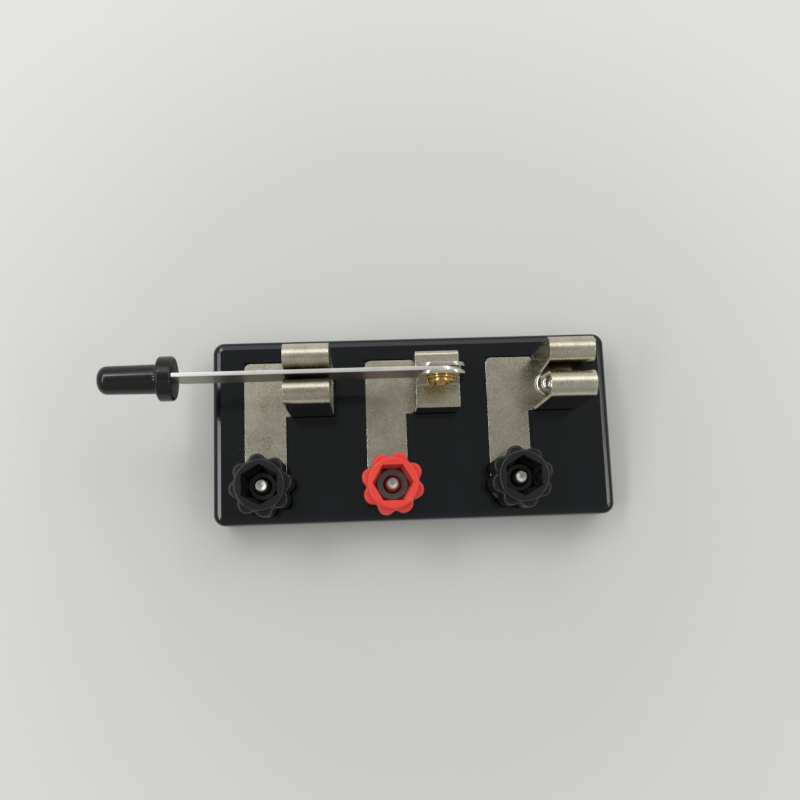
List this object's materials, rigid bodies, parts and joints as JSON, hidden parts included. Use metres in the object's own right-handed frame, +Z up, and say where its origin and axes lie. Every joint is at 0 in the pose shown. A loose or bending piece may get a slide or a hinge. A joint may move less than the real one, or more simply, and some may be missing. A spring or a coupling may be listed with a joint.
{
  "type": "knife switch",
  "caption": "Open single-pole double-throw knife blade switch: a hinged metal blade with a handle swings between two spring jaws on a moulded base with screw terminals.",
  "frame": {"origin": "middle of the underside of the base, on its centre pad", "axes": "+X along the length of the base, away from the handle at rest; +Y towards the jaws at the back; +Z up"},
  "size_m": [0.1298, 0.0488, 0.0385],
  "materials": {
    "base_plastic": "glossy black injection-moulded plastic",
    "nickel_plate": "nickel-plated sheet metal, slightly grained",
    "blade_steel": "plated strip, lengthwise rolling grain",
    "handle_plastic": "polished black plastic",
    "knob_black": "glossy black plastic",
    "knob_red": "glossy red plastic",
    "brass": "polished brass",
    "rivet_steel": "bright nickel-plated",
    "nut_steel": "dull plated steel",
    "nut_dark": "blackened steel",
    "screw_steel": "plated steel"
  },
  "bodies": {
    "switch_base": {"base": "base_plastic", "left_contact_clip": "nickel_plate", "right_contact_clip": "nickel_plate", "pivot_bracket": "nickel_plate", "pivot_rivet": "brass", "pivot_washer": "brass", "fixing_rivet_left": "rivet_steel", "terminal_stud_left": "screw_steel", "clamp_nut_left": "screw_steel", "fixing_rivet_middle": "rivet_steel", "terminal_stud_middle": "screw_steel", "clamp_nut_middle": "screw_steel", "fixing_rivet_right": "rivet_steel", "terminal_stud_right": "screw_steel", "clamp_nut_right": "screw_steel"},
    "blade_arm": {"blade": "blade_steel", "handle": "handle_plastic"},
    "washer_left": {"lead_washer_left": "screw_steel"},
    "knob_body_left": {"knob_left": "knob_black", "knob_nut_left": "nut_dark"},
    "washer_middle": {"lead_washer_middle": "screw_steel"},
    "knob_body_middle": {"knob_middle": "knob_red", "knob_nut_middle": "nut_steel"},
    "washer_right": {"lead_washer_right": "screw_steel"},
    "knob_body_right": {"knob_right": "knob_black", "knob_nut_right": "nut_dark"}
  },
  "joints": [
    {"name": "blade_swing", "type": "hinge", "parent": "switch_base", "child": "blade_arm", "pos_m": [0.0063, 0.01105, 0.033], "axis": [0, 1, 0], "range_deg": [0, 180]},
    {"name": "left_washer_lift", "type": "slide", "parent": "switch_base", "child": "washer_left", "axis": [0, 0, 1], "range_m": [0, 0.0021]},
    {"name": "left_knob_turn", "type": "hinge", "parent": "washer_left", "child": "knob_body_left", "pos_m": [-0.0391, -0.0148, 0.0186], "axis": [0, 0, 1], "range_deg": [0, 1080]},
    {"name": "middle_washer_lift", "type": "slide", "parent": "switch_base", "child": "washer_middle", "axis": [0, 0, 1], "range_m": [0, 0.0021]},
    {"name": "middle_knob_turn", "type": "hinge", "parent": "washer_middle", "child": "knob_body_middle", "pos_m": [-0.00605, -0.01535, 0.0186], "axis": [0, 0, 1], "range_deg": [0, 1080]},
    {"name": "right_washer_lift", "type": "slide", "parent": "switch_base", "child": "washer_right", "axis": [0, 0, 1], "range_m": [0, 0.0021]},
    {"name": "right_knob_turn", "type": "hinge", "parent": "washer_right", "child": "knob_body_right", "pos_m": [0.02665, -0.01465, 0.0186], "axis": [0, 0, 1], "range_deg": [0, 1080]}
  ],
  "couplings": [
    {"joint": "left_knob_turn", "follows": "left_washer_lift", "rad_per_m": 8976},
    {"joint": "middle_knob_turn", "follows": "middle_washer_lift", "rad_per_m": 8976},
    {"joint": "right_knob_turn", "follows": "right_washer_lift", "rad_per_m": 8976}
  ]
}
